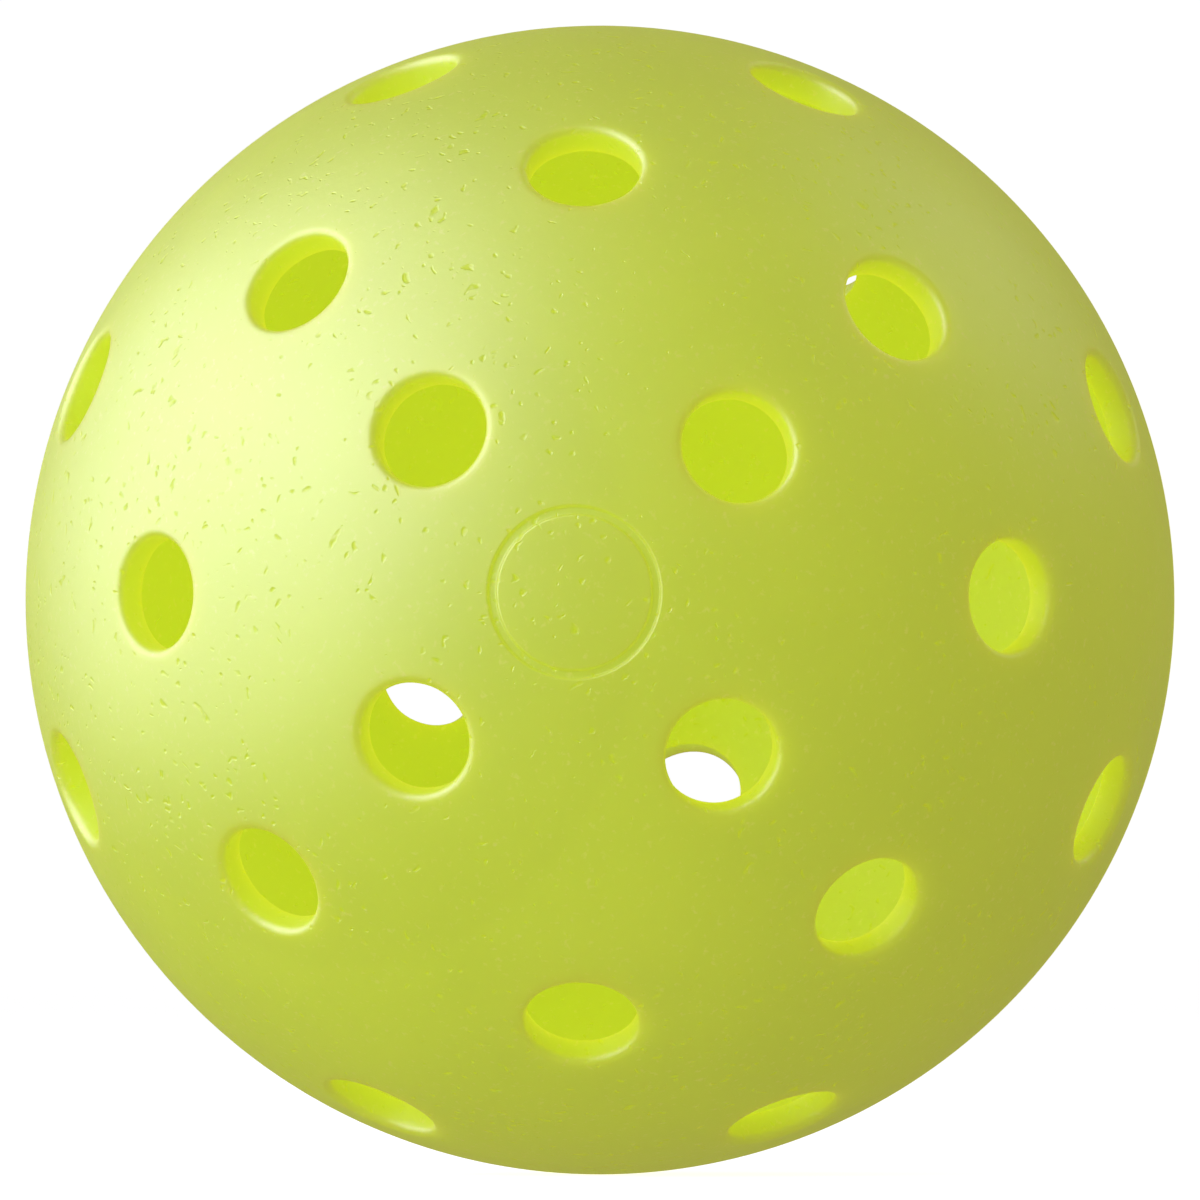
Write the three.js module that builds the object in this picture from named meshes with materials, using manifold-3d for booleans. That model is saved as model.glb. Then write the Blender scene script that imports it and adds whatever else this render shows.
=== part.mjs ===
// Hollow perforated court ball: two drilled half shells that meet at the equator.
// Units are millimetres. +Z is up, the centre of the ball is the origin, and the
// polar axis of the hole pattern lies along Y with the marked pole towards -Y.

import * as THREE from 'three';
import { mergeVertices } from 'three/addons/utils/BufferGeometryUtils.js';
import Module from 'manifold-3d';

// ---------------------------------------------------------------- dimensions

// Ball
const BALL_RADIUS = 37;
const WALL_THICKNESS = 1.9;
const CAVITY_RADIUS = BALL_RADIUS - WALL_THICKNESS;

// Lap joint at the equator: an inner tongue on one half, an outer lip on the other
const JOINT_GAP = 0.3;
const LAP_HEIGHT = 1.6;
const LAP_RADIUS = BALL_RADIUS - WALL_THICKNESS / 2;

// Drilled holes, each with a small edge break on its outer rim
const HOLE_RADIUS = 3.58;
const EDGE_BREAK = 0.16;
const DRILL_MARGIN = 1.5;

// Hole pattern of one half: five sets of four holes, each set a quarter turn apart. One
// set rings the pole, two make the middle ring of eight and two the ring by the equator.
// Degrees: polar angles run from the pole, azimuths from +X towards +Z.
const HOLES_PER_SET = 4;
const HOLE_SETS = [
  { polar: 22, azimuth: 42 },
  { polar: 47.6, azimuth: -0.2 },
  { polar: 47, azimuth: 42.3 },
  { polar: 74.3, azimuth: 20.1 },
  { polar: 73.9, azimuth: 67.4 },
];

// The rear half is the front one turned over, so its azimuths run backwards from this one
const REAR_CLOCKING = 61;

// Plain ring pressed into the marked pole
const RING_RADIUS = 5.2;
const RING_WIDTH = 0.55;
const RING_DEPTH = 0.25;

// Mesh fineness
const SHELL_SEGMENTS = 60;
const ARC_SEGMENTS = 12;
const HOLE_SEGMENTS = 22;
const WELD_TOLERANCE = 1e-4;

// Translucent lime polyethylene
const SHELL_MATERIAL = { color: 0xb9c934, roughness: 0.48, metalness: 0 };

// ---------------------------------------------------------------- solids

const wasm = await Module();
wasm.setup();

/** Closed three.js geometry to a manifold solid. */
function toSolid(geometry) {
  const bare = geometry.index ? geometry.toNonIndexed() : geometry.clone();
  bare.deleteAttribute('normal');
  bare.deleteAttribute('uv');
  const welded = mergeVertices(bare, WELD_TOLERANCE);
  const index = welded.index.array;
  const triangles = [];
  for (let i = 0; i < index.length; i += 3) {
    const [a, b, c] = [index[i], index[i + 1], index[i + 2]];
    const collapsed = a === b || b === c || c === a;
    if (!collapsed) {
      triangles.push(a, b, c);
    }
  }
  return new wasm.Manifold(new wasm.Mesh({
    numProp: 3,
    vertProperties: new Float32Array(welded.attributes.position.array),
    triVerts: new Uint32Array(triangles),
  }));
}

/** Manifold solid back to a flat-shaded three.js geometry. */
function toGeometry(solid) {
  const mesh = solid.getMesh();
  const indexed = new THREE.BufferGeometry();
  indexed.setAttribute('position', new THREE.BufferAttribute(mesh.vertProperties, mesh.numProp));
  indexed.setIndex(new THREE.BufferAttribute(mesh.triVerts, 1));
  const flat = indexed.toNonIndexed();
  flat.computeVertexNormals();
  return flat;
}

/** Revolves a list of [radius, height] pairs about Y. */
function lathe(profile, segments) {
  const points = profile.map(([radius, height]) => new THREE.Vector2(Math.max(radius, 0), height));
  return new THREE.LatheGeometry(points, segments);
}

/** Radius of a sphere of the given size where it crosses a height. */
function radiusAt(sphereRadius, height) {
  return Math.sqrt(sphereRadius ** 2 - height ** 2);
}

/**
 * Points on a sphere's profile from the +Y pole down to a height near the equator.
 * The last point lies exactly at that height.
 */
function arcFromPole(sphereRadius, height) {
  const endAngle = Math.acos(height / sphereRadius);
  const points = [];
  for (let i = 0; i <= ARC_SEGMENTS; i += 1) {
    const angle = (endAngle * i) / ARC_SEGMENTS;
    const radius = i === 0 ? 0 : sphereRadius * Math.sin(angle);
    points.push([radius, sphereRadius * Math.cos(angle)]);
  }
  return points;
}

/** Half shell on the +Y side whose inner wall runs on past the equator as a tongue. */
function tongueShell() {
  const tongueEnd = -LAP_HEIGHT;
  const shoulder = JOINT_GAP / 2;
  const tongueRadius = LAP_RADIUS - JOINT_GAP / 2;
  const outer = arcFromPole(BALL_RADIUS, shoulder);
  const inner = arcFromPole(CAVITY_RADIUS, 0).reverse();
  const step = [
    [tongueRadius, shoulder],
    [tongueRadius, tongueEnd],
    [radiusAt(CAVITY_RADIUS, tongueEnd), tongueEnd],
  ];
  return lathe([...outer, ...step, ...inner].reverse(), SHELL_SEGMENTS);
}

/** Half shell on the +Y side whose outer wall forms a lip over the other half's tongue. */
function lipShell() {
  const lipEnd = JOINT_GAP / 2;
  const shoulder = LAP_HEIGHT + JOINT_GAP;
  const lipRadius = LAP_RADIUS + JOINT_GAP / 2;
  const outer = arcFromPole(BALL_RADIUS, lipEnd);
  const inner = arcFromPole(CAVITY_RADIUS, shoulder).reverse();
  const step = [
    [lipRadius, lipEnd],
    [lipRadius, shoulder],
  ];
  return lathe([...outer, ...step, ...inner].reverse(), SHELL_SEGMENTS);
}

/** Drill along +Y from inside the cavity, flaring at the outer surface to break the edge. */
function drill() {
  const rimHeight = radiusAt(BALL_RADIUS, HOLE_RADIUS);
  const bottom = radiusAt(CAVITY_RADIUS, HOLE_RADIUS) - DRILL_MARGIN;
  const flare = EDGE_BREAK + DRILL_MARGIN;
  return lathe([
    [0, bottom],
    [HOLE_RADIUS, bottom],
    [HOLE_RADIUS, rimHeight - EDGE_BREAK],
    [HOLE_RADIUS + flare, rimHeight - EDGE_BREAK + flare],
    [0, rimHeight - EDGE_BREAK + flare],
  ], HOLE_SEGMENTS);
}

/** Cutter for the plain ring at the +Y pole. */
function ringCutter() {
  const floor = radiusAt(BALL_RADIUS, RING_RADIUS) - RING_DEPTH;
  const top = BALL_RADIUS + DRILL_MARGIN;
  const inner = RING_RADIUS - RING_WIDTH / 2;
  const outer = RING_RADIUS + RING_WIDTH / 2;
  return lathe([
    [inner, floor],
    [outer, floor],
    [outer, top],
    [inner, top],
    [inner, floor],
  ], SHELL_SEGMENTS);
}

/** Unit direction of a hole on the +Y side. */
function holeDirection(polar, azimuth) {
  const polarAngle = THREE.MathUtils.degToRad(polar);
  const azimuthAngle = THREE.MathUtils.degToRad(azimuth);
  return new THREE.Vector3(
    Math.sin(polarAngle) * Math.cos(azimuthAngle),
    Math.cos(polarAngle),
    Math.sin(polarAngle) * Math.sin(azimuthAngle),
  );
}

/** Every hole direction of one half, with the azimuths passed through a rule. */
function holeDirections(azimuthRule) {
  const directions = [];
  for (const { polar, azimuth } of HOLE_SETS) {
    for (let index = 0; index < HOLES_PER_SET; index += 1) {
      const turned = azimuth + (360 / HOLES_PER_SET) * index;
      directions.push(holeDirection(polar, azimuthRule(turned)));
    }
  }
  return directions;
}

/** Drills a half shell along each direction. */
function drillShell(shell, directions) {
  const axis = new THREE.Vector3(0, 1, 0);
  return directions.reduce((solid, direction) => {
    const cutter = drill();
    cutter.applyQuaternion(new THREE.Quaternion().setFromUnitVectors(axis, direction));
    return solid.subtract(toSolid(cutter));
  }, toSolid(shell));
}

/** Named mesh with its own material. */
function piece(name, geometry) {
  const mesh = new THREE.Mesh(geometry, new THREE.MeshStandardMaterial(SHELL_MATERIAL));
  mesh.name = name;
  return mesh;
}

// ---------------------------------------------------------------- the ball

// Half a turn about Z carries the +Y half to the -Y side. It turns an azimuth into its
// supplement, so the pattern is laid out with that supplement and comes out as stated.
const frontPattern = holeDirections((azimuth) => 180 - azimuth);
const frontSolid = drillShell(tongueShell(), frontPattern).subtract(toSolid(ringCutter()));
const frontGeometry = toGeometry(frontSolid).rotateZ(Math.PI);

const rearPattern = holeDirections((azimuth) => REAR_CLOCKING - azimuth);
const rearGeometry = toGeometry(drillShell(lipShell(), rearPattern));

const ball = new THREE.Group();
ball.name = 'perforated_ball';
ball.add(piece('front_half_shell', frontGeometry));
ball.add(piece('rear_half_shell', rearGeometry));

export default ball;
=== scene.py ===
"""Looks for the perforated court ball: two fine half shells, a pale studio and the camera.

Metres, in the row frame: the ball's centre is the origin, +Z is up, and the polar axis
of the hole pattern lies along Y with the marked pole towards -Y.
"""
import math

import bpy
from mathutils import Matrix, Vector, noise
from mathutils.geometry import delaunay_2d_cdt


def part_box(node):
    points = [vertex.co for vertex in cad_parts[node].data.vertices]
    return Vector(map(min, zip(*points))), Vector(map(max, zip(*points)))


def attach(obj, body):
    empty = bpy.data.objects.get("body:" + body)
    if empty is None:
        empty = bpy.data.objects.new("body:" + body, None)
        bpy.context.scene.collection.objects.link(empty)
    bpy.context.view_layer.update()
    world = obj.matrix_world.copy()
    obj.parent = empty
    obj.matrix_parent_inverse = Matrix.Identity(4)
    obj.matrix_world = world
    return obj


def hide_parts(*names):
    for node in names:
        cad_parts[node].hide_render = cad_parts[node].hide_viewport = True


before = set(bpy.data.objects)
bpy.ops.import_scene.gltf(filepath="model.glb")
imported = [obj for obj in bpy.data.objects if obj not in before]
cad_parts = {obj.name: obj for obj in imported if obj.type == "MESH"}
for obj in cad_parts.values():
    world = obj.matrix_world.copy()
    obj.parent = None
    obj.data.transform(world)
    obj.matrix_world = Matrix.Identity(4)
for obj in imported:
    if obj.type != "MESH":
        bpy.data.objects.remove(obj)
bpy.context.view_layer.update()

# ---------------------------------------------------------------- dimensions (metres)

MM = 0.001
SHELL_LOW, SHELL_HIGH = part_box("front_half_shell")
BALL_RADIUS = (SHELL_HIGH[2] - SHELL_LOW[2]) / 2
WALL_THICKNESS = 1.9 * MM
CAVITY_RADIUS = BALL_RADIUS - WALL_THICKNESS
HOLE_RADIUS = 3.58 * MM

# Hole pattern of one half, as in the CAD: polar angle from the pole and azimuth from +X
# towards +Z, in degrees, of the first hole of each set of four a quarter turn apart
HOLES_PER_SET = 4
HOLE_SETS = (
    (22.0, 42.0),
    (47.6, -0.2),
    (47.0, 42.3),
    (74.3, 20.1),
    (73.9, 67.4),
)
# The rear half is the front one turned over, so its azimuths run backwards from this
REAR_CLOCKING = 61.0

# Edges: the outer rim of a hole is eased more than the inner one, the weld line least
OUTER_EASE = 0.48 * MM
INNER_EASE = 0.10 * MM
SEAM_EASE = 0.10 * MM
SEAM_HALF_GAP = 0.012 * MM

# Irregular drilling: how far a rim wanders from its circle, and its waves per turn
RIM_WANDER = 0.035 * MM
RIM_WAVES = 2.2
# Carries each hole to its own part of the noise, so no two rims wander alike
RIM_NOISE_STRIDE = 37

# Plain ring pressed into the marked pole: arc radius, width, depth and edge softness
RING_RADIUS = 5.2 * MM
RING_WIDTH = 0.55 * MM
RING_DEPTH = 0.22 * MM
RING_SOFTNESS = 0.16 * MM

# Mesh fineness
POINT_SPACING = 0.95 * MM
RIM_POINTS = 56
GUARD_STEPS = (0.28 * MM, 0.72 * MM)
RING_POINTS = 112
SEAM_POINTS = 264
EASE_STEPS = 4
WALL_STEPS = 4
# Rows of points across each soft edge of the ring, in widths of that edge
RING_EDGE_ROWS = (-1.0, -0.5, -0.2, 0.2, 0.5, 1.0)
# Nearest a fill point comes to a rim, ring or seam, in point spacings
FILL_CLEARANCE = 0.62
# Points of the flat layout closer than this count as one
LAYOUT_TOLERANCE = 1e-9


# ---------------------------------------------------------------- shell mesh

def unit(polar, azimuth):
    """Direction at a polar angle and azimuth, in radians, about the local +Z pole."""
    return Vector((
        math.sin(polar) * math.cos(azimuth),
        math.sin(polar) * math.sin(azimuth),
        math.cos(polar),
    ))


def flatten(direction):
    """Stereographic projection from the far pole, so circles on the ball stay circles."""
    return Vector((direction.x, direction.y)) / (1 + direction.z)


def hole_axes(azimuth_rule):
    """Unit axis of every hole of one half."""
    axes = []
    for polar, azimuth in HOLE_SETS:
        for index in range(HOLES_PER_SET):
            turned = azimuth_rule(azimuth + 360 / HOLES_PER_SET * index)
            axes.append(unit(math.radians(polar), math.radians(turned)))
    return axes


def side_frame(axis):
    """Two unit vectors square to an axis and to each other."""
    first = axis.orthogonal().normalized()
    return first, axis.cross(first)


def hole_profile():
    """Radius and height pairs of a hole's wall, from the outer surface to the inner one."""
    profile = []
    ease_radius = HOLE_RADIUS + OUTER_EASE
    ease_height = math.sqrt((BALL_RADIUS - OUTER_EASE) ** 2 - ease_radius ** 2)
    start = math.atan2(ease_height, ease_radius)
    for step in range(EASE_STEPS + 1):
        angle = start + (math.pi - start) * step / EASE_STEPS
        profile.append((
            ease_radius + OUTER_EASE * math.cos(angle),
            ease_height + OUTER_EASE * math.sin(angle),
        ))
    inner_radius = HOLE_RADIUS + INNER_EASE
    inner_height = math.sqrt((CAVITY_RADIUS + INNER_EASE) ** 2 - inner_radius ** 2)
    for step in range(1, WALL_STEPS):
        share = step / WALL_STEPS
        profile.append((HOLE_RADIUS, ease_height + (inner_height - ease_height) * share))
    finish = math.atan2(-inner_height, -inner_radius) % (2 * math.pi)
    for step in range(EASE_STEPS + 1):
        angle = math.pi + (finish - math.pi) * step / EASE_STEPS
        profile.append((
            inner_radius + INNER_EASE * math.cos(angle),
            inner_height + INNER_EASE * math.sin(angle),
        ))
    return profile


def seam_profile():
    """Radius and height pairs along the joint face at the equator, outside to inside."""
    centre_height = SEAM_HALF_GAP + SEAM_EASE
    centre_radius = math.sqrt((BALL_RADIUS - SEAM_EASE) ** 2 - centre_height ** 2)
    start = math.atan2(centre_height, centre_radius)
    profile = []
    for step in range(EASE_STEPS + 1):
        angle = start - (start + math.pi / 2) * step / EASE_STEPS
        profile.append((
            centre_radius + SEAM_EASE * math.cos(angle),
            centre_height + SEAM_EASE * math.sin(angle),
        ))
    profile.append((math.sqrt(CAVITY_RADIUS ** 2 - SEAM_HALF_GAP ** 2), SEAM_HALF_GAP))
    return profile


def smooth_step(value):
    """Eased 0 to 1."""
    value = min(max(value, 0.0), 1.0)
    return value * value * (3 - 2 * value)


def ring_relief(direction):
    """How far the pressed ring lowers the outer surface in a direction."""
    arc = BALL_RADIUS * math.acos(min(direction.z, 1.0))
    from_edge = RING_WIDTH / 2 - abs(arc - RING_RADIUS)
    return RING_DEPTH * smooth_step(from_edge / RING_SOFTNESS + 0.5)


def rim_offset(axis, turn):
    """Wander of a hole's rim at an angle around it, the same on every run."""
    place = Vector((math.cos(turn), math.sin(turn), 0)) * RIM_WAVES + axis * RIM_NOISE_STRIDE
    return RIM_WANDER * noise.noise(place)


class HalfShell:
    """Vertices and faces of one half, about a local +Z pole."""

    def __init__(self, axes, has_ring):
        self.axes = axes
        self.has_ring = has_ring
        self.verts = []
        self.faces = []

    def add(self, position):
        self.verts.append(position)
        return len(self.verts) - 1

    def loop(self, axis, radius, height, points, wander=0.0):
        """Vertices on a circle about an axis."""
        first, second = side_frame(axis)
        found = []
        for index in range(points):
            turn = 2 * math.pi * index / points
            reach = radius + wander * rim_offset(axis, turn)
            side = first * math.cos(turn) + second * math.sin(turn)
            found.append(self.add(axis * height + side * reach))
        return found

    def bridge(self, upper, lower):
        """Quads between two loops of the same length."""
        count = len(upper)
        for index in range(count):
            after = (index + 1) % count
            self.faces.append((upper[index], upper[after], lower[after], lower[index]))

    def surface_points(self, hole_edge, seam):
        """Directions for the flat triangulation: rims, guards, ring, seam, then a fill."""
        directions = []
        edges = []
        loops = []

        def circle(axis, angle, points, closed):
            first, second = side_frame(axis)
            start = len(directions)
            for index in range(points):
                turn = 2 * math.pi * index / points
                side = first * math.cos(turn) + second * math.sin(turn)
                directions.append(axis * math.cos(angle) + side * math.sin(angle))
            if closed:
                edges.extend((start + i, start + (i + 1) % points) for i in range(points))
            return list(range(start, start + points))

        for axis in self.axes:
            loops.append(circle(axis, hole_edge, RIM_POINTS, True))
        for guard in GUARD_STEPS:
            for axis in self.axes:
                circle(axis, hole_edge + guard / BALL_RADIUS, RIM_POINTS, False)
        pole = Vector((0, 0, 1))
        seam_loop = circle(pole, seam, SEAM_POINTS, True)
        circle(pole, seam - GUARD_STEPS[-1] / BALL_RADIUS, SEAM_POINTS, False)
        if self.has_ring:
            half = RING_WIDTH / 2
            for side in (-1, 1):
                for shift in RING_EDGE_ROWS:
                    arc = RING_RADIUS + side * (half + shift * RING_SOFTNESS)
                    circle(pole, arc / BALL_RADIUS, RING_POINTS, False)
        self.fill(directions, hole_edge, seam)
        return directions, edges, loops, seam_loop

    def fill(self, directions, hole_edge, seam):
        """Even spiral of points over the rest of the half."""
        area = 2 * math.pi * BALL_RADIUS ** 2
        count = int(area / (POINT_SPACING ** 2 * math.sqrt(3) / 2))
        golden = math.pi * (3 - math.sqrt(5))
        keep_off = POINT_SPACING * FILL_CLEARANCE / BALL_RADIUS
        hole_limit = math.cos(hole_edge + GUARD_STEPS[-1] / BALL_RADIUS + keep_off)
        seam_limit = math.cos(seam - GUARD_STEPS[-1] / BALL_RADIUS - keep_off)
        ring_low = (RING_RADIUS - RING_WIDTH / 2 - RING_SOFTNESS) / BALL_RADIUS - keep_off
        ring_high = (RING_RADIUS + RING_WIDTH / 2 + RING_SOFTNESS) / BALL_RADIUS + keep_off
        for index in range(count):
            height = 1 - (index + 0.5) / count
            if height < seam_limit:
                break
            direction = unit(math.acos(height), golden * index)
            if any(direction.dot(axis) > hole_limit for axis in self.axes):
                continue
            if self.has_ring and ring_low < math.acos(height) < ring_high:
                continue
            directions.append(direction)

    def build(self):
        """Fills verts and faces with a closed shell."""
        profile = hole_profile()
        seam = seam_profile()
        hole_edge = math.atan2(profile[0][0], profile[0][1])
        seam_edge = math.atan2(seam[0][0], seam[0][1])
        seam_inner = math.atan2(seam[-1][0], seam[-1][1])
        directions, edges, loops, seam_loop = self.surface_points(hole_edge, seam_edge)
        flat = [flatten(direction) for direction in directions]
        triangles = self.triangulate(flat, edges, hole_edge, directions)

        outer = []
        for direction in directions:
            relief = ring_relief(direction) if self.has_ring else 0.0
            outer.append(self.add(direction * (BALL_RADIUS - relief)))
        inner = [self.add(direction * CAVITY_RADIUS) for direction in directions]
        self.move_loops(outer, inner, loops, profile)
        for index in seam_loop:
            direction = directions[index]
            azimuth = math.atan2(direction.y, direction.x)
            self.verts[inner[index]] = unit(seam_inner, azimuth) * CAVITY_RADIUS
        for a, b, c in triangles:
            self.faces.append((outer[a], outer[b], outer[c]))
            self.faces.append((inner[c], inner[b], inner[a]))

        for axis, loop in zip(self.axes, loops):
            upper = [outer[index] for index in loop]
            for radius, height in profile[1:-1]:
                lower = self.loop(axis, radius, height, RIM_POINTS, wander=1.0)
                self.bridge(upper, lower)
                upper = lower
            self.bridge(upper, [inner[index] for index in loop])
        pole = Vector((0, 0, 1))
        upper = [outer[index] for index in seam_loop]
        for radius, height in seam[1:-1]:
            lower = self.loop(pole, radius, height, SEAM_POINTS)
            self.bridge(lower, upper)
            upper = lower
        self.bridge([inner[index] for index in seam_loop], upper)

    def move_loops(self, outer, inner, loops, profile):
        """Puts each rim loop on its wandering circle, outside and inside."""
        for axis, loop in zip(self.axes, loops):
            first, second = side_frame(axis)
            for index, place in enumerate(loop):
                turn = 2 * math.pi * index / RIM_POINTS
                side = first * math.cos(turn) + second * math.sin(turn)
                wander = rim_offset(axis, turn)
                for target, (radius, height), size in (
                    (outer[place], profile[0], BALL_RADIUS),
                    (inner[place], profile[-1], CAVITY_RADIUS),
                ):
                    moved = axis * height + side * (radius + wander)
                    self.verts[target] = moved.normalized() * size

    def triangulate(self, flat, edges, hole_edge, directions):
        """Triangles of the flat layout, without those inside a hole."""
        result = delaunay_2d_cdt(flat, edges, [], 0, LAYOUT_TOLERANCE)
        origin = [sources[0] for sources in result[3]]
        limit = math.cos(hole_edge)
        kept = []
        for face in result[2]:
            a, b, c = (origin[corner] for corner in face)
            centre = (directions[a] + directions[b] + directions[c]).normalized()
            if all(centre.dot(axis) <= limit for axis in self.axes):
                kept.append((a, b, c))
        return kept


def shell_object(name, axes, has_ring, to_world):
    """Blender object of one half, smooth shaded, with outward faces."""
    half = HalfShell(axes, has_ring)
    half.build()
    mesh = bpy.data.meshes.new(name)
    mesh.from_pydata([to_world @ vert for vert in half.verts], [], half.faces)
    mesh.update()
    if to_world.determinant() < 0:
        mesh.flip_normals()
    for polygon in mesh.polygons:
        polygon.use_smooth = True
    mesh.validate()
    obj = bpy.data.objects.new(name, mesh)
    bpy.context.scene.collection.objects.link(obj)
    return obj


FRONT_TO_WORLD = Matrix(((1, 0, 0), (0, 0, -1), (0, 1, 0)))
REAR_TO_WORLD = Matrix(((1, 0, 0), (0, 0, 1), (0, 1, 0)))

front = shell_object(
    "front_shell_surface", hole_axes(lambda azimuth: azimuth), True, FRONT_TO_WORLD)
rear = shell_object(
    "rear_shell_surface", hole_axes(lambda azimuth: REAR_CLOCKING - azimuth), False, REAR_TO_WORLD)


# ---------------------------------------------------------------- material

DEEP_LIME = (0.43, 0.68, 0.018, 1)
BRIGHT_LIME = (0.50, 0.76, 0.026, 1)
FLECK_COLOUR = (0.76, 0.84, 0.36, 1)
# Painted light: the plastic glows evenly wherever it is, a stand-in for fill light and light shining
# through the shell
PAINTED_LIGHT_COLOUR = (1.0, 0.82, 0.045, 1)
PAINTED_LIGHT_STRENGTH = 0.285
# How much of the face is a milky skin that only reflects, and how rough that skin is
SKIN_SHARE = 0.14
SKIN_SHARE_IN_PIT = 0.02
SKIN_ROUGHNESS = 0.50
BODY_ROUGHNESS = (0.40, 0.52)
PLASTIC_IOR = 1.5
# Mean free path of red, green and blue light in the plastic, over the longest of them
SCATTER_RATIO = (1.0, 0.80, 0.12)
SCATTER_LENGTH = 6 * MM
# Sizes of the surface's variation, as cells per metre
DRIFT_SCALE = 38.0
PATCH_SCALE = 75.0
CLOUD_SCALE = 160.0
PIT_WARP_SCALE = 520.0
PEEL_SCALE = 900.0
PIT_SCALE = 1150.0
FLECK_SCALE = 2100.0
# Depth of the relief, and how far the warp pulls the pits out of round
PEEL_DEPTH = 0.05 * MM
PIT_DEPTH = 0.06 * MM
PIT_PULL = 0.0014
PEEL_STRENGTH = 0.30
PIT_STRENGTH = 0.8
# Bands of each noise that are spread over the whole range it drives
DRIFT_BAND = (0.32, 0.70)
FLECK_BAND = (0.60, 0.74)
CLOUD_BAND = (0.3, 0.7)
PATCH_BAND = (0.46, 0.64)
PIT_CHANCE_BAND = (0.35, 1.0)
# Reach of a pit from its middle to its edge, in cells, and what chance and place take off
PIT_REACH = (0.12, 0.32)
PIT_CHANCE_LOSS = 0.45
PIT_PATCH_LOSS = 0.16
FLECK_STRENGTH = 0.30


def texture(tree, kind, place, **inputs):
    """Procedural texture read at the object coordinates, with its inputs set by name."""
    made = tree.nodes.new(kind)
    for name, value in inputs.items():
        made.inputs[name].default_value = value
    tree.links.new(place, made.inputs["Vector"])
    return made


def remap(tree, source, from_range, to_range):
    """Value carried from one range to another and clamped."""
    made = tree.nodes.new("ShaderNodeMapRange")
    made.inputs["From Min"].default_value, made.inputs["From Max"].default_value = from_range
    made.inputs["To Min"].default_value, made.inputs["To Max"].default_value = to_range
    tree.links.new(source, made.inputs["Value"])
    return made.outputs["Result"]


def add(tree, first, second):
    """Sum of two values."""
    made = tree.nodes.new("ShaderNodeMath")
    made.operation = "ADD"
    tree.links.new(first, made.inputs[0])
    tree.links.new(second, made.inputs[1])
    return made.outputs["Value"]


def bump(tree, height, strength, distance, below=None):
    """Surface normal with one layer of relief, over another layer if there is one."""
    made = tree.nodes.new("ShaderNodeBump")
    made.inputs["Strength"].default_value = strength
    made.inputs["Distance"].default_value = distance
    tree.links.new(height, made.inputs["Height"])
    if below is not None:
        tree.links.new(below, made.inputs["Normal"])
    return made.outputs["Normal"]


def plastic_colour(tree, place):
    """Slow drift between two limes, with pale flecks of unmelted resin."""
    link = tree.links.new
    drift = texture(tree, "ShaderNodeTexNoise", place, Scale=DRIFT_SCALE, Detail=3.0, Roughness=0.55)
    limes = tree.nodes.new("ShaderNodeValToRGB")
    limes.color_ramp.elements[0].position = DRIFT_BAND[0]
    limes.color_ramp.elements[0].color = DEEP_LIME
    limes.color_ramp.elements[1].position = DRIFT_BAND[1]
    limes.color_ramp.elements[1].color = BRIGHT_LIME
    link(drift.outputs["Fac"], limes.inputs["Fac"])
    flecks = texture(tree, "ShaderNodeTexNoise", place, Scale=FLECK_SCALE, Detail=2.0, Roughness=0.6)
    mixed = tree.nodes.new("ShaderNodeMix")
    mixed.data_type = "RGBA"
    mixed.inputs["B"].default_value = FLECK_COLOUR
    fleck_share = remap(tree, flecks.outputs["Fac"], FLECK_BAND, (0.0, FLECK_STRENGTH))
    link(fleck_share, mixed.inputs["Factor"])
    link(limes.outputs["Color"], mixed.inputs["A"])
    return mixed.outputs["Result"]


def pit_field(tree, place):
    """0 in the middle of a pit and 1 away from it; pits are stretched and of mixed size."""
    link = tree.links.new
    warp = texture(tree, "ShaderNodeTexNoise", place, Scale=PIT_WARP_SCALE, Detail=2.0)
    pull = tree.nodes.new("ShaderNodeMix")
    pull.data_type = "RGBA"
    pull.blend_type = "LINEAR_LIGHT"
    pull.inputs["Factor"].default_value = PIT_PULL
    link(place, pull.inputs["A"])
    link(warp.outputs["Color"], pull.inputs["B"])
    cells = texture(
        tree, "ShaderNodeTexVoronoi", pull.outputs["Result"], Scale=PIT_SCALE, Randomness=1.0)
    chance = tree.nodes.new("ShaderNodeSeparateColor")
    link(cells.outputs["Color"], chance.inputs["Color"])
    shrink = remap(tree, chance.outputs["Red"], PIT_CHANCE_BAND, (0.0, PIT_CHANCE_LOSS))
    patches = texture(tree, "ShaderNodeTexNoise", place, Scale=PATCH_SCALE, Detail=2.0)
    clear = remap(tree, patches.outputs["Fac"], PATCH_BAND, (0.0, PIT_PATCH_LOSS))
    smaller = add(tree, shrink, clear)
    reach = add(tree, cells.outputs["Distance"], smaller)
    return remap(tree, reach, PIT_REACH, (0.0, 1.0))


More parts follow.
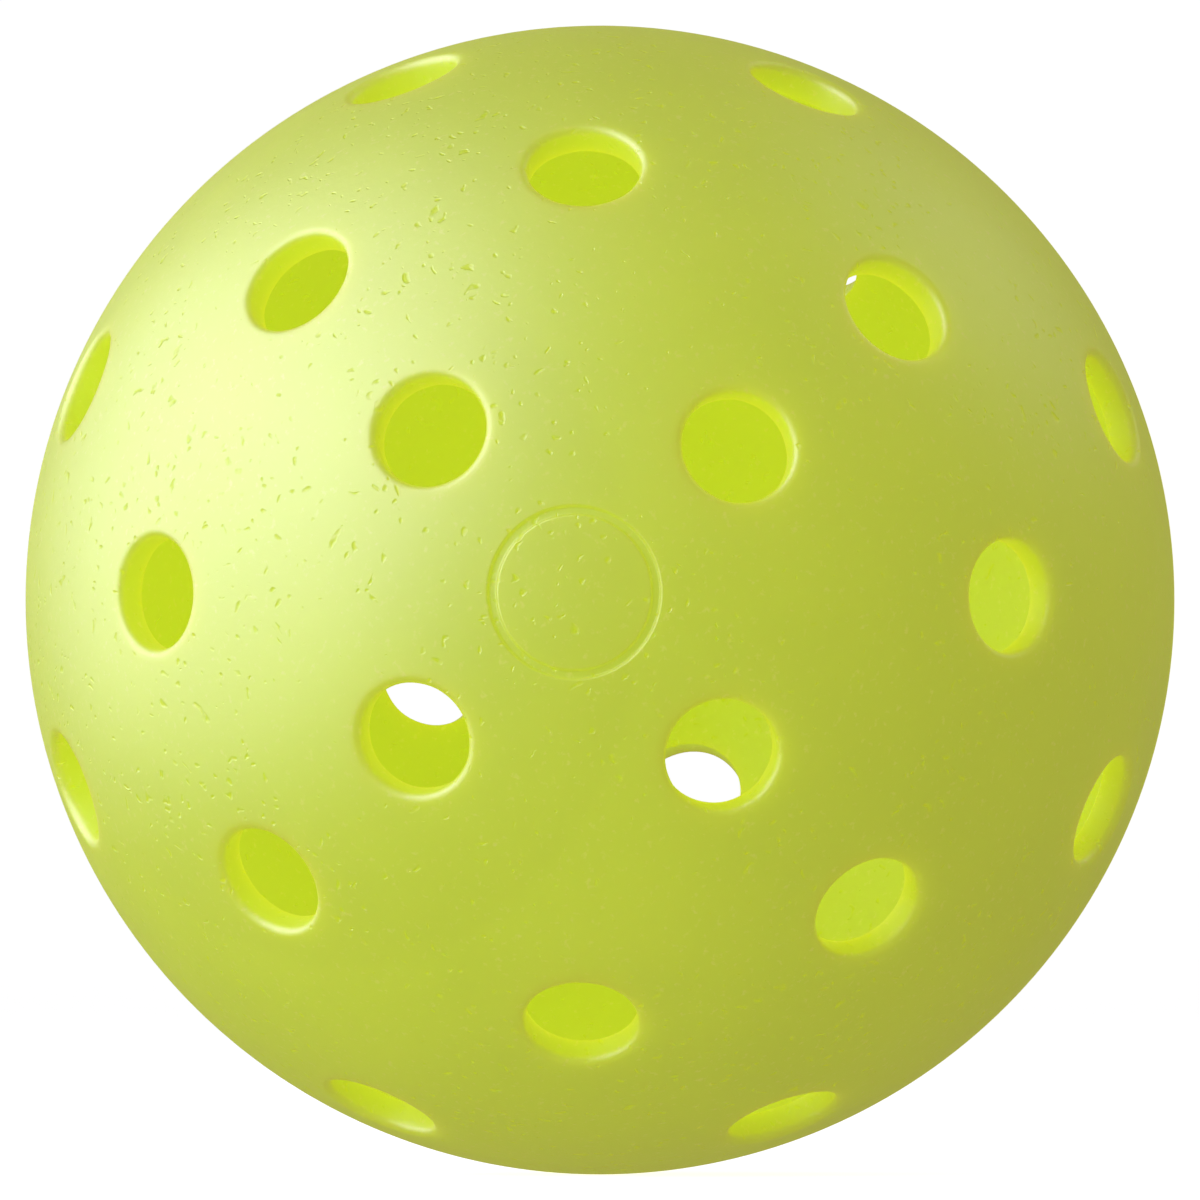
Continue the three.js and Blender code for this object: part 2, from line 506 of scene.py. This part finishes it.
def polyethylene():
    """Translucent lime plastic under a milky skin."""
    material = bpy.data.materials.new("lime_polyethylene")
    material.use_nodes = True
    tree = material.node_tree
    link = tree.links.new
    body = tree.nodes["Principled BSDF"]
    place = tree.nodes.new("ShaderNodeTexCoord").outputs["Object"]
    pits = pit_field(tree, place)
    peel = texture(tree, "ShaderNodeTexNoise", place, Scale=PEEL_SCALE, Detail=4.0, Roughness=0.62)
    normals = bump(tree, peel.outputs["Fac"], PEEL_STRENGTH, PEEL_DEPTH)
    normals = bump(tree, pits, PIT_STRENGTH, PIT_DEPTH, normals)
    link(plastic_colour(tree, place), body.inputs["Base Color"])
    cloud = texture(
        tree, "ShaderNodeTexNoise", place, Scale=CLOUD_SCALE, Detail=4.0, Roughness=0.6)
    link(remap(tree, cloud.outputs["Fac"], CLOUD_BAND, BODY_ROUGHNESS), body.inputs["Roughness"])
    link(normals, body.inputs["Normal"])
    body.inputs["Subsurface Weight"].default_value = 1.0
    body.inputs["Subsurface Radius"].default_value = SCATTER_RATIO
    body.inputs["Subsurface Scale"].default_value = SCATTER_LENGTH
    body.inputs["IOR"].default_value = PLASTIC_IOR
    # painted light: an even glow on the body in place of fill light and light through the shell
    body.inputs["Emission Color"].default_value = PAINTED_LIGHT_COLOUR
    body.inputs["Emission Strength"].default_value = PAINTED_LIGHT_STRENGTH

    skin = tree.nodes.new("ShaderNodeBsdfAnisotropic")
    skin.inputs["Color"].default_value = (1, 1, 1, 1)
    skin.inputs["Roughness"].default_value = SKIN_ROUGHNESS
    link(normals, skin.inputs["Normal"])
    layers = tree.nodes.new("ShaderNodeMixShader")
    link(remap(tree, pits, (0.0, 1.0), (SKIN_SHARE_IN_PIT, SKIN_SHARE)), layers.inputs["Fac"])
    link(body.outputs["BSDF"], layers.inputs[1])
    link(skin.outputs["BSDF"], layers.inputs[2])
    link(layers.outputs["Shader"], tree.nodes["Material Output"].inputs["Surface"])
    return material


plastic = polyethylene()
for piece, cad_node in ((front, "front_half_shell"), (rear, "rear_half_shell")):
    piece.data.materials.append(plastic)
    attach(piece, "root")
    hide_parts(cad_node)


# ---------------------------------------------------------------- studio

FLOOR_HEIGHT = -BALL_RADIUS
FLOOR_RADIUS = 2.2
COVE_RADIUS = 0.6
COVE_STEPS = 24
WALL_HEIGHT = 2.6
PAPER_SEGMENTS = 96
# The paper is lit from behind, so it stays white around the ball
PAPER_GLOW = 0.85
PAPER_COLOUR = (0.93, 0.93, 0.93, 1)
PAPER_ROUGHNESS = 0.9


def backdrop():
    """Round pale floor that sweeps up into a wall all the way around the ball."""
    section = [(0.0, FLOOR_HEIGHT), (FLOOR_RADIUS, FLOOR_HEIGHT)]
    for step in range(1, COVE_STEPS + 1):
        angle = math.pi / 2 * step / COVE_STEPS
        section.append((
            FLOOR_RADIUS + COVE_RADIUS * math.sin(angle),
            FLOOR_HEIGHT + COVE_RADIUS * (1 - math.cos(angle)),
        ))
    section.append((FLOOR_RADIUS + COVE_RADIUS, FLOOR_HEIGHT + WALL_HEIGHT))
    verts = [(0.0, 0.0, FLOOR_HEIGHT)]
    for radius, height in section[1:]:
        for index in range(PAPER_SEGMENTS):
            turn = 2 * math.pi * index / PAPER_SEGMENTS
            verts.append((radius * math.cos(turn), radius * math.sin(turn), height))
    faces = []
    for index in range(PAPER_SEGMENTS):
        after = (index + 1) % PAPER_SEGMENTS
        faces.append((0, 1 + index, 1 + after))
        for row in range(len(section) - 2):
            low = 1 + row * PAPER_SEGMENTS
            high = low + PAPER_SEGMENTS
            faces.append((low + index, high + index, high + after, low + after))
    mesh = bpy.data.meshes.new("studio_sweep")
    mesh.from_pydata(verts, [], faces)
    for polygon in mesh.polygons:
        polygon.use_smooth = True
    material = bpy.data.materials.new("studio_paper")
    material.use_nodes = True
    tree = material.node_tree
    shader = tree.nodes["Principled BSDF"]
    shader.inputs["Roughness"].default_value = PAPER_ROUGHNESS
    shader.inputs["Base Color"].default_value = PAPER_COLOUR
    shader.inputs["Emission Color"].default_value = (1, 1, 1, 1)
    shader.inputs["Emission Strength"].default_value = PAPER_GLOW
    obj = bpy.data.objects.new("studio_sweep", mesh)
    obj.data.materials.append(material)
    bpy.context.scene.collection.objects.link(obj)
    # the ball is lit by the boxes and the air alone, not by the paper
    obj.visible_diffuse = False
    obj.visible_glossy = False


def softbox(name, direction, distance, size, power, diffuse, glossy):
    """Round area light that looks at the ball, for its body colour, its sheen or both."""
    data = bpy.data.lights.new(name, "AREA")
    data.shape = "DISK"
    data.size = size
    data.energy = power
    obj = bpy.data.objects.new(name, data)
    place = Vector(direction).normalized() * distance
    obj.location = place
    obj.rotation_euler = (-place).to_track_quat("-Z", "Y").to_euler()
    obj.visible_diffuse = diffuse
    obj.visible_glossy = glossy
    bpy.context.scene.collection.objects.link(obj)


# Where the main light stands, seen from the ball
KEY_DIRECTION = (-0.81, -0.37, 0.46)
AIR_STRENGTH = 0.15

backdrop()
# name, direction from the ball, distance, width, watts, body colour, sheen
LIGHTS = (
    ("key_light", KEY_DIRECTION, 0.9, 0.62, 0.9, True, True),
    ("key_sheen", KEY_DIRECTION, 0.9, 0.62, 2.3, False, True),
    ("left_sheen", (-0.75, -0.20, 0.35), 1.0, 2.2, 17.0, False, True),
    ("side_light", (-0.90, 0.38, 0.22), 1.0, 1.0, 2.3, True, True),
    ("right_rim", (0.66, 0.42, 0.62), 1.0, 0.8, 0.8, True, True),
    ("front_fill", (-0.52, -0.84, -0.03), 1.2, 2.0, 11.5, True, False),
)
for light in LIGHTS:
    softbox(*light)

world = bpy.data.worlds.new("studio_air")
world.use_nodes = True
world.node_tree.nodes["Background"].inputs["Color"].default_value = (1, 1, 1, 1)
world.node_tree.nodes["Background"].inputs["Strength"].default_value = AIR_STRENGTH
bpy.context.scene.world = world
bpy.context.scene.view_settings.view_transform = "Standard"


# ---------------------------------------------------------------- camera

# Where the camera stands, seen from the ball: degrees right of -Y, and above level
CAMERA_AZIMUTH = 2.53
CAMERA_ELEVATION = -0.75
CAMERA_DISTANCE = 40 * BALL_RADIUS
SENSOR_WIDTH = 36.0
# Share of the frame's width that the ball's outline spans
OUTLINE_SHARE = 0.9575
NEAREST_SEEN = 0.01
FARTHEST_SEEN = 20


def camera():
    """Long lens at the ball's height, framed on its outline."""
    data = bpy.data.cameras.new("camera")
    data.sensor_width = SENSOR_WIDTH
    outline = 2 / math.sqrt((CAMERA_DISTANCE / BALL_RADIUS) ** 2 - 1)
    data.lens = SENSOR_WIDTH * OUTLINE_SHARE / outline
    data.clip_start = NEAREST_SEEN
    data.clip_end = FARTHEST_SEEN
    obj = bpy.data.objects.new("camera", data)
    azimuth = math.radians(CAMERA_AZIMUTH)
    elevation = math.radians(CAMERA_ELEVATION)
    place = Vector((
        math.sin(azimuth) * math.cos(elevation),
        -math.cos(azimuth) * math.cos(elevation),
        math.sin(elevation),
    )) * CAMERA_DISTANCE
    obj.location = place
    obj.rotation_euler = (-place).to_track_quat("-Z", "Y").to_euler()
    bpy.context.scene.collection.objects.link(obj)
    bpy.context.scene.camera = obj


camera()
